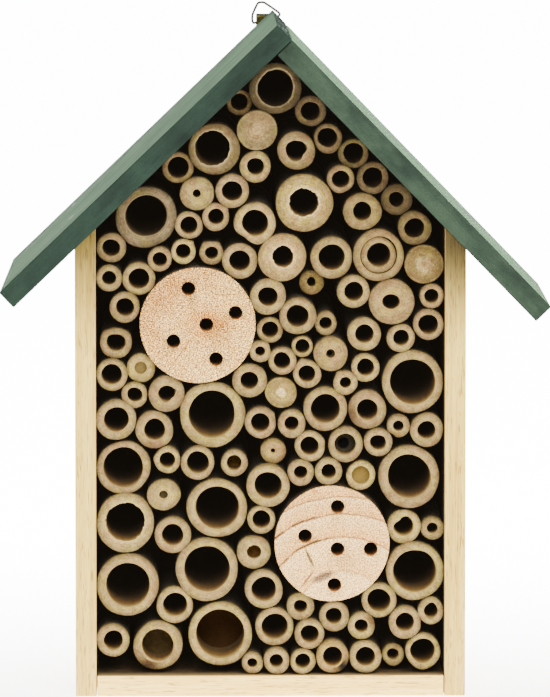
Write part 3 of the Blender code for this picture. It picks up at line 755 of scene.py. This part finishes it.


# Canes that stand out, each by a point in its cut, as x and z in mm.
# fit: shift in mm, and how many per cent wider; shift: that of the bore alone
# outer, bore: dents and bumps, each as degrees from +X, per cent of the radius, and width in degrees
# ragged, teeth: how far the mouth's edge is torn, as a share of the radius, and into how many teeth
# cream: how pale and sloping the cut is round the bore
# tone, stain: colour of the cut; and a stain on it as angle, colour and strength
# plug, collar: colour of what closes the bore; and whether that has a hole of its own, painted as a
# near-black disc of shade
# marks, pale, bright: on a closed cane, grooves as radius and half width, and a paler middle
FEATURES = {
    (2, 257): dict(fit=(0, 0, 2), ragged=0.035, cream=0.7, bore=[(95, 3, 40)]),
    (-13, 251): dict(fit=(-0.2, 0.6, 0), outer=[(300, 5, 25), (200, 4, 25)]),
    (17, 247): dict(outer=[(250, -4, 30), (70, 3, 25)]),
    (-6, 239): dict(fit=(-0.7, 0.8, 2), marks=[(0.52, 0.06), (0.16, 0.05)], pale=0.2, tone="8b784a"),
    (24, 236): dict(fit=(0, -0.4, 0), outer=[(270, 10, 42)], bore=[(200, 8, 22)]),
    (-24, 231): dict(fit=(0, 0, 2), ragged=0.06, cream=0.6, shift=(-0.9, 0.3), tone="7c6941"),
    (11, 230): dict(ragged=0.03, cream=0.3,
        bore=[(20, 16, 22), (160, 10, 25), (80, -8, 25), (328, -18, 25), (255, 4, 20)]),
    (35, 229): dict(fit=(0, 0, 3), bore=[(35, 9, 14), (190, 5, 20)]),
    (-6, 223): dict(fit=(0, 0.5, 0), bore=[(310, 5, 22), (200, -6, 24)]),
    (43, 219): dict(bore=[(40, 5, 12)], ragged=0.015),
    (30, 218): dict(fit=(-0.2, 0.2, 3), outer=[(300, -6, 25), (250, 3, 20)]),
    (-16, 213): dict(fit=(0, 0.5, 3), ragged=0.03, cream=0.4),
    (-31, 212): dict(fit=(0.1, 0.3, 3), outer=[(0, -2, 20), (90, -3, 30)], ragged=0.05),
    (14, 208): dict(fit=(-0.2, 0.5, 3), ragged=0.1, cream=1, teeth=11, tone="907b45"),
    (39, 205): dict(fit=(-0.2, 0, 2), outer=[(235, 3, 10), (0, 3, 30)], tone="867243"),
    (-23, 202): dict(fit=(0, 0.4, 3), outer=[(42, 13, 13), (20, -2, 20)]),
    (-52, 202): dict(fit=(0, 0.4, 3), shift=(0, 0.6), tone="857450"),
    (-6, 200): dict(outer=[(232, -16, 24), (282, 4, 12), (80, 3, 5)], bore=[(228, -13, 26)], tone="96824f"),
    (-37, 188): dict(outer=[(45, 12, 9)], tone="98864d"),
    (46, 186): dict(fit=(-0.3, 0, 3), tone="836f43"),
    (5, 185): dict(fit=(0, 0.6, 4), ragged=0.1, cream=0.9, teeth=9, shift=(0.3, 0.2), tone="967f4b"),
    (65, 182): dict(marks=[(0.47, 0.04)], tone="8e7843", pale=0.46),
    (18, 174): dict(bore=[(90, 12, 16), (0, -10, 30)], tone="786539"),
    (51, 167): dict(tone="8b7547", shift=(-0.3, 0.1), bore=[(0, 28, 42), (180, 28, 42)]),
    (67, 157): dict(ragged=0.02, outer=[(100, 4, 30)]),
    (-65, 149): dict(outer=[(90, -10, 42), (35, 5, 16), (145, 5, 16)],
        bore=[(90, -20, 42), (270, -10, 45)]),
    (-4, 146): dict(fit=(-0.2, 0.3, 3), outer=[(45, 9, 14), (135, 5, 16), (225, 4, 18), (315, 5, 16)]),
    (25, 144): dict(fit=(-0.1, 0.2, 3), plug="37301f", collar=True, tone="8c7547", bore=[(200, 10, 20)]),
    (4, 142): dict(fit=(-0.2, 0.6, 3), outer=[(100, -3, 20)]),
    (-54, 138): dict(fit=(-0.3, 0.4, 5), plug="60502a", tone="9b864e", ragged=0.03),
    (15, 137): dict(fit=(-0.2, 0.3, 3), outer=[(112, 12, 13)], bore=[(150, 5, 25)]),
    (32, 132): dict(fit=(-0.2, 0.1, 3), outer=[(126, 16, 14)]),
    (4, 128): dict(bright=0.3, tone="937f45"),
    (-44, 128): dict(fit=(0, 0.3, 4), bore=[(20, 30, 13), (315, -24, 26), (255, 12, 14)], ragged=0.02),
    (-58, 127): dict(fit=(-0.7, 0.1, 6), outer=[(250, 5, 22), (150, 4, 22), (0, -3, 30)],
        bore=[(325, 10, 25), (145, 8, 25)]),
    (-24, 119): dict(fit=(0, 0, 2), ragged=0.012),
    (-4, 116): dict(outer=[(33, 6, 9)]),
    (54, 114): dict(outer=[(238, -12, 14), (205, 5, 12)], stain=(265, "5c3a16", 0.6)),
    (41, 121): dict(fit=(-0.1, 0.2, 2), stain=(200, "3c2410", 0.75)),
    (-49, 112): dict(fit=(0, 0.4, 3), stain=(262, "5e4026", 0.7)),
    (32, 106): dict(plug="2c271b", collar=True),
    (46, 107): dict(bore=[(90, -12, 40), (270, -12, 40)]),
    (17, 106): dict(fit=(-0.3, 0, 4), outer=[(20, 5, 10)]),
    (1, 103): dict(tone="907947"),
    (-43, 100): dict(outer=[(175, 8, 12), (140, -4, 20), (90, 3, 14)]),
    (-31, 99): dict(outer=[(90, 4, 40), (270, 4, 40)], ragged=0.02),
    (-15, 98): dict(plug="6a5026", outer=[(0, 3, 20)]),
    (38, 93): dict(plug="6a5628", tone="9d8a50", outer=[(90, 3, 30), (225, 3, 25)]),
    (-45, 85): dict(plug="4a3f2a", tone="95814d", outer=[(0, 6, 30), (180, 5, 35)], bore=[(200, 12, 20)]),
    (-61, 73): dict(fit=(-0.4, 0.5, 0), ragged=0.07, cream=0.6, teeth=17, shift=(0, 0.3)),
    (57, 71): dict(fit=(-0.4, 0, 8), bore=[(128, -30, 34), (200, 10, 18), (60, 5, 20)], tone="9f8b50"),
    (-7, 60): dict(plug="74552b", ragged=0.05, cream=0.35, teeth=8),
    (-21, 26): dict(plug="3b2712"),
    (-48, 21): dict(fit=(0, -0.3, 0), plug="4a3c22", stain=(242, "3a2212", 0.9)),
    (13, 38): dict(fit=(0, 0, 4), outer=[(60, 4, 25)]),
    (38, 29): dict(stain=(25, "4a2c10", 0.8)),
    (57, 31): dict(fit=(0, 0, 2), outer=[(335, 5, 16)]),
    (68, 36): dict(fit=(0, -0.4, 5), outer=[(90, 5, 34), (270, 6, 30)], bore=[(265, 32, 26), (80, 18, 26)]),
    (26, 16): dict(fit=(0, 0.2, 2), stain=(315, "140b05", 1), tone="917945"),
    (65, 18): dict(outer=[(266, 9, 22), (180, 3, 30), (120, -2, 20), (345, 3, 18)], bore=[(225, -5, 25)]),
    (17, 26): dict(fit=(-0.2, 0, 2), outer=[(90, -3, 20)]),
    (-25, 187): dict(outer=[(52, 10, 12), (128, 10, 12), (90, -5, 16)]),
    (23, 157): dict(fit=(0, 0, 2), outer=[(80, 10, 35), (275, 8, 40)]),
    (52, 16): dict(fit=(0, -0.5, 0), outer=[(270, 12, 45)]),
}
# Canes that differ in their fit alone.
FITS = {
    (-47, 184): (0, 0, 3), (-39, 223): (0.1, 0.2, 2), (-34, 199): (-0.2, 0, 4), (-13, 183): (-0.2, 0.5, 2),
    (-68, 176): (-0.1, 0.2, 3), (-1, 169): (-0.1, 0.2, 4), (-61, 164): (0, 0.3, 2), (0, 154): (0, 0, 3),
    (-67, 136): (-0.3, 1, 0), (-65, 116): (-0.3, 0.8, 2), (26, 185): (0, 0, 5), (12, 160): (0, 0.4, 5),
    (40, 138): (-0.6, 0.1, 5), (23, 121): (0, 0.4, 2), (-1, 89): (0, 0, 5), (69, 70): (0.2, -0.5, 6),
    (-27, 53): (-0.1, 0, 6), (61, 52): (0, -0.2, 3), (46, 40): (-0.2, 0, 3), (27, 33): (0, 0, 5),
    (-60, 47): (-0.3, 0, 0), (-62, 97): (-0.2, 0, 0), (-67, 24): (-0.5, -0.6, -2),
}
FEATURES.update({at: dict(fit=fit) for at, fit in FITS.items()})


def feature_of(cane):
    """The entry of the list nearest to this cane, if it is within 3.5 mm."""
    here = (cane.centre.x / MM, cane.centre.z / MM)
    near = min(FEATURES, key=lambda at: math.dist(at, here))
    return FEATURES[near] if math.dist(near, here) < 3.5 else {}


def roof_shade(cane):
    """How much painted shade of the roof a cane takes: 1 against a roof board, and less below it or on the
    left.
    """
    across = cane.centre.x - 2.4 * MM
    below = (272 * MM - cane.centre.z - abs(across)) * 0.707 - cane.outer
    return math.exp(-max(below, 0) / (9 * MM)) * (1 if across > -8 * MM else 0.5)


def cane_tone(cane, feature, draw):
    """Colour of the cut: greyer and browner at the top of the box, yellower at its foot, with painted shade
    of the roof on canes near a roof board.
    """
    share = min(max(1.1 - cane.centre.z / 0.24 + draw(-0.35, 0.35), 0), 1)
    tone = blend(rgb("806c44"), rgb("95834c"), share)
    tone = blend(tone, rgb("8d754d"), draw(0, 0.5))
    if "tone" in feature:
        tone = rgb(feature["tone"])
    # painted shade from the roof
    roof_shaded_tone = tuple(level * share for level, share in zip(tone, (0.32, 0.33, 0.36)))
    return blend(tone, roof_shaded_tone, roof_shade(cane))


class CaneMaker:
    """Adds one cane to a shell ring by ring: from its back end to its mouth, and down its bore."""

    def __init__(self, shell, cane):
        self.shell, self.cane = shell, cane
        self.random = random.Random(round(cane.centre.x * 1e5) * 7919 + round(cane.centre.z * 1e5))
        self.feature = feature_of(cane)
        self.tone = cane_tone(cane, self.feature, self.random.uniform)
        right, up, wider = self.feature.get("fit", (0, 0, 0))
        self.radius, self.mouth = cane.outer * (1 + wider / 100), cane.centre.y
        self.centre = cane.centre + Vector((right, 0, up)) * MM
        self.steps = FINE_STEPS if self.feature.get("ragged", 0) > 0.04 else CANE_STEPS
        draw = self.random.uniform
        waves = [(2, draw(0, 0.025)), (3, draw(0, 0.014)), (5, 0.005), (9, 0.003)]
        lumps = self.feature.get("outer", ())
        self.outer = Outline(self.random, self.radius + 0.14 * MM, waves, lumps, self.steps)
        self.last = None
        self.seed = draw(0, 100)
        self.lean = (draw(-0.35, 0.35) * MM, draw(-0.35, 0.35) * MM)

    def build(self):
        self.add_skin()
        if self.cane.bore:
            self.add_open_face()
        else:
            self.add_closed_face()

    def saw(self, size, turn=0):
        """Depth of the sawn face at each angle: slightly out of square, and rough."""
        def depth(angle):
            rough = noise.noise((self.seed + turn, 2.5 * math.cos(angle), 2.5 * math.sin(angle)))
            return size * rough + self.lean[0] * math.cos(angle) + self.lean[1] * math.sin(angle)
        return depth

    def stained(self, angle, colour):
        at, code, strength = self.feature["stain"]
        share = strength * math.exp(-((turn_between(math.degrees(angle), at) / STAIN_WIDTH) ** 2))
        return blend(colour, rgb(code), share)

    def add(self, slot, points, across=0, deep=0, colour=None, plug=(1, 1, 1)):
        """The next ring, joined to the last one, with any stain of the cut."""
        colour = colour or self.tone
        ring = self.shell.ring(points, across, deep, colour, plug)
        if "stain" in self.feature and across > 0.2:
            for vert, angle in zip(ring, angles(len(ring))):
                vert[self.shell.cut_tone] = (*self.stained(angle, colour), 1)
        if self.last:
            self.shell.strip(self.last, ring, slot)
        self.last = ring

    def add_skin(self):
        outline, centre = self.outer.points, self.centre
        self.add(SKIN, outline(centre, self.cane.back), 1, 2)
        self.shell.cap(self.last, SKIN, across=1, deep=2, cut=self.tone)
        for depth in (60, 25, 12, 6, 3, 1):
            self.add(SKIN, outline(centre, self.mouth + depth * MM), 1, depth / 20)
        self.add(SKIN, outline(centre, self.mouth + RIM, 0, self.saw(0.12 * MM)), 1)
        self.add(CUT, outline(centre, self.mouth, -RIM, self.saw(0.15 * MM)), 0.97)

    def add_closed_face(self):
        """The cut of a cane that a node closes at its mouth: slightly hollow, with any marks."""
        feature = self.feature
        hollow = 0.5 * MM if "bright" in feature else 0.12 * MM
        pale_to = max(feature.get("pale", 0), feature.get("bright", 0))
        for step in range(12, 0, -1):
            share = step / 12.5
            groove = sum(0.25 * MM for at, width in feature.get("marks", ()) if abs(share - at) < width)
            paler = 0.2 if "pale" in feature else 0.8 * (1 - share)
            colour = blend(self.tone, rgb("dcc78f"), paler) if share < pale_to else self.tone
            y, grow = self.mouth + hollow * (1 - share) + groove, -self.radius * (1 - share)
            points = self.outer.points(self.centre, y, grow, self.saw(0.2 * MM, share))
            self.add(CUT, points, 0.25 + share * 0.68, colour=colour)
        middle = blend(self.tone, rgb("6b5232"), 0.4 if "marks" in feature else 0)
        self.shell.cap(self.last, CUT, cut=middle)

    def add_open_face(self):
        """The cut between skin and bore, which slopes in towards a bore slightly off centre."""
        feature, draw = self.feature, self.random.uniform
        right, up = feature.get("shift", (draw(-0.2, 0.2), draw(-0.1, 0.2)))
        shift = Vector((right, 0, up)) * MM
        waves = [(2, draw(0.005, 0.035)), (3, draw(0, 0.025)), (5, draw(0, 0.01))]
        bore = Outline(self.random, self.cane.bore * 1.05, waves, feature.get("bore", ()), self.steps)
        usual = 0.012 if self.cane.bore < 3.3 * MM else 0.006
        bore.jagged(self.random, feature.get("ragged", usual), feature.get("teeth", 11))
        cream = feature.get("cream", 0)
        slope = (0.25 + cream) * MM
        pale = blend(self.tone, rgb("f3dfa8"), 0.5 * cream)
        for share in (0.8, 0.6, 0.4, 0.27, 0.14, 0.04):
            edge, centre = bore.towards(self.outer, share), self.centre + shift * (1 - share)
            y = self.mouth + slope * max(0, 0.5 - share) ** 2 * 4
            points = edge.points(centre, y, -RIM * share, self.saw(0.22 * MM, share))
            self.add(CUT, points, share * 0.95, colour=blend(pale, self.tone, min(1, share * 3.6)))
        self.add_bore(bore, shift, slope)

    def add_bore(self, outline, shift, start):
        """The wall of the bore, which gets round and central further in, and what closes it."""
        plain = Outline(self.random, self.cane.bore * 1.02, [], (), self.steps)
        for depth in (0.3, 0.8, 1.6, 3, 5, 8, 13, 22, 45, 200):
            back = min(depth * MM + start, self.cane.depth - 0.02 * MM)
            wall = outline.towards(plain, min(1, depth / 4))
            centre = self.centre + shift - shift * min(1, depth / 20)
            self.add(BORE, wall.points(centre, self.mouth + back, -0.02 * MM), deep=back / (30 * MM))
            if back < depth * MM + start:
                break
        if "collar" in self.feature:
            self.add_collar(plain, self.centre + shift, self.mouth + back)
        elif "plug" in self.feature:
            plug = rgb(self.feature["plug"])
            self.shell.recolour_plug(self.last, plug)
            self.shell.cap(self.last, PITH, plug=plug, cut=self.tone)
        else:
            self.shell.cap(self.last, BORE, deep=2, cut=self.tone)

    def add_collar(self, plain, middle, y):
        """A plug with a raised edge round a hole off centre, the hole a flat near-black disc of painted
        shade.
        """
        # the hole is painted: a flat near-black disc of shade
        plug, dark = rgb(self.feature["plug"]), rgb("060403")
        bore = self.cane.bore
        self.shell.recolour_plug(self.last, plug)
        centre = middle + Vector((-0.12, 0, -0.08)) * bore
        for width, raised in ((0.62, 0.6 * MM), (0.5, 0)):
            self.add(PITH, plain.points(centre, y - raised, bore * (width - 1.02)), plug=plug)
        self.shell.cap(self.last, PITH, plug=dark)
        self.shell.recolour_plug(self.last, dark)


def build_canes(materials):
    """One piece for each CAD node of canes."""
    for node in sorted(NODES):
        if not node.startswith(("wide_cane", "cane_bundle", "nested_cane")):
            continue
        shell = Shell()
        for cane in read_canes(node):
            CaneMaker(shell, cane).build()
        replace(node, "bamboo_" + node, shell.mesh(node, materials))


def build_log(node, materials):
    """A log with a slightly uneven outline, in its materials for face, side and drilled holes."""
    work = merged(node)
    patches = front_patches(work)
    back = max(vert.co.y for vert in work.verts)
    work.free()
    centre, radius, _ = max(patches, key=lambda item: item.outer)
    holes = [item for item in patches if item.outer < 5 * MM]
    rng = random.Random(int(centre.x * 1e5))
    taller = [(90, 1, 40), (270, 1.4, 40)] if node == "log_lower" else []
    outline = Outline(rng, radius + 0.2 * MM, [(3, 0.003), (7, 0.002)], taller, FINE_STEPS)
    shell = Shell()
    depths = [back] + [centre.y + inwards * MM for inwards in (20, 1, 0.4)]
    side = [shell.ring(outline.points(centre, y)) for y in depths]
    edge = shell.ring(outline.points(centre, centre.y, -0.4 * MM))
    for one, other in zip(side, side[1:]):
        shell.strip(one, other, 1)
    shell.strip(side[-1], edge, 0)
    shell.cap(side[0], 1)
    shell.cap(edge, 0)
    piece = replace(node, "drilled_" + node, shell.mesh(node, materials))
    drill(piece, holes, centre.y - 2 * MM, materials)


def drill(piece, holes, start, materials):
    """Cuts holes into a log from a place in front of it."""
    work = bmesh.new()
    for centre, radius, _ in holes:
        middle = Vector((centre.x, (start + centre.y) / 2, centre.z))
        turn = Matrix.Translation(middle) @ Matrix.Rotation(math.pi / 2, 4, "X")
        wide = radius * 1.06
        size = dict(segments=32, radius1=wide, radius2=wide, depth=centre.y - start)
        bmesh.ops.create_cone(work, cap_ends=True, matrix=turn, **size)
    for face in work.faces:
        face.material_index = 2
    cutter = add_object("drills", finished(work, "drills", materials))
    modifier = piece.modifiers.new("drills", "BOOLEAN")
    modifier.operation, modifier.solver, modifier.object = "DIFFERENCE", "EXACT", cutter
    bpy.context.view_layer.update()
    cut = bpy.data.meshes.new_from_object(piece.evaluated_get(bpy.context.evaluated_depsgraph_get()))
    piece.modifiers.clear()
    piece.data = cut
    bpy.data.objects.remove(cutter)


def build_board(node, materials, pick):
    """A board from its CAD solid, with its long edges rounded. pick says which material a face takes."""
    work = merged(node)
    bmesh.ops.dissolve_limit(work, angle_limit=0.01, verts=work.verts, edges=work.edges)
    whole = [edge for edge in work.edges if edge.calc_length() > 5.5 * MM and len(edge.link_faces) == 2]
    sharp = [edge for edge in whole if edge.calc_face_angle() > 0.5]
    bmesh.ops.bevel(work, geom=sharp, offset=0.5 * MM, segments=2, profile=0.5, affect="EDGES")
    for face in work.faces:
        face.material_index = pick(face)
    replace(node, "wood_" + node, finished(work, node, materials))


def roof_face(face, side):
    """Which material a face takes: 0 edges and underside, 1 top, 2 the left board's end at the ridge."""
    if face.normal.z < 0.4 or face.normal.y < -0.2:
        return 0
    return 1 if face.normal.x * side > 0 or side > 0 else 2


# The ring's centre line: mm along and above its bar.
WIRE = [
    (5.1, 0), (5.9, 0), (6.3, 0.45), (6.2, 1.2), (5.8, 1.9), (2.1, 6.5), (1.5, 7.2), (0.8, 7.75),
    (-0.8, 8.1), (-1.5, 7.9), (-2.1, 7.4), (-4.9, 4.3), (-5.6, 2.8), (-6, 1.2), (-5.9, 0.3), (-5.2, 0),
]
WIRE_RADIUS = 0.55 * MM
WIRE_STEPS = 16  # points round the wire


def rounded(points):
    """A closed outline with each corner cut off."""
    made = []
    for one, other in zip(points, points[1:] + points[:1]):
        made += [one.lerp(other, 0.25), one.lerp(other, 0.75)]
    return made


def build_ring(look):
    """The wire ring, in the plane through the hinge's axis."""
    joint = frame["joints"][0]
    pivot, along = Vector(joint["pos_m"]), Vector(joint["axis"]).normalized()
    up = Vector((-along.z, 0, along.x))
    across = along.cross(up)
    points = rounded(rounded(rounded([pivot + (along * a + up * b) * MM for a, b in WIRE])))
    shell = Shell()
    rings = []
    for index, point in enumerate(points):
        side = (points[(index + 1) % len(points)] - points[index - 1]).normalized().cross(across)
        spokes = [side * math.cos(angle) + across * math.sin(angle) for angle in angles(WIRE_STEPS)]
        rings.append(shell.ring([point + spoke * WIRE_RADIUS for spoke in spokes]))
    for one, other in zip(rings, rings[1:] + rings[:1]):
        shell.strip(one, other, 0)
    replace("hanger_ring", "wire_ring", shell.mesh("wire_ring", [look]), "hanger_ring")


def carry(node, material):
    """A CAD node that keeps its shape and gets a better material."""
    mesh = NODES[node].data
    mesh.materials.clear()
    mesh.materials.append(material)


make_camera()
make_studio()

build_canes([cut_bamboo(), bamboo_skin(), bamboo_bore(), pith()])
log_side, hole = shaded_log_side(), drilled_hole(-57 * MM)
for node, make in (("log_upper", upper_end_grain), ("log_lower", lower_end_grain)):
    lo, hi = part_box(node)
    build_log(node, [make((lo + hi) / 2), log_side, hole])

WALL_TONES = ("d0b35a", "c9a951", "b08e3a")
BASE_TONES = ("f2d071", "eac364", "d2a749")
inside = shaded_wood()
BOARDS = {  # each with its wood, and the direction in which it faces the canes
    # the walls' last values: heights and factor of the painted shadow of the roof
    "wall_left": (fir("fir_left", 2, *WALL_TONES, (140 * MM, 198 * MM, (0.31, 0.31, 0.29))), (1, 0, 0)),
    "wall_right": (fir("fir_right", 2, *WALL_TONES, (140 * MM, 197 * MM, (0.13, 0.13, 0.17))), (-1, 0, 0)),
    "back_panel": (fir("fir_back", 2, *WALL_TONES), (0, -1, 0)),
    "base_board": (fir("fir_level", 0, *BASE_TONES), (0, 0, 1)),
}
# faces turned towards the canes take the inside wood, with its painted shade
for node, (wood, inwards) in BOARDS.items():
    build_board(node, [wood, inside], lambda face: int(face.normal.dot(inwards) > 0.9))

# Roof tops take the lighter tones and the fronts, edges and underside the darker ones, as painted light and
# shade.
ROOF = {  # each with the side it is on, and its tones: light, middle and dark
    "roof_board_left": (-1, ("3b5a3a", "2e4b2f", "1d3620"), ("17261c", "101d15", "08130c")),
    "roof_board_right": (1, ("5a7e58", "4d6e4a", "3a593a"), ("263325", "1c281d", "111b12")),
}
ridge_end = stained_end()
for node, (side, lit_tops, shaded_fronts) in ROOF.items():
    # painted light on the tops, painted shade on the other faces
    top = stain(node + "_top", side, *lit_tops)
    front = stain(node + "_front", side, *shaded_fronts, 0.45)
    build_board(node, [front, top, ridge_end], lambda face: roof_face(face, side))

brass = metal("brass", "2c2910", "151308", 0.34)
steel = metal("nail_steel_look", "a8a8a4", "77756e", 0.35)
for node in NODES:
    if node in ("hanger_strap", "hanger_nail"):
        carry(node, brass)
    elif "nail" in node:
        carry(node, steel)
build_ring(metal("bronze_wire", "2c2b23", "1a1914", 0.55, 0.1))
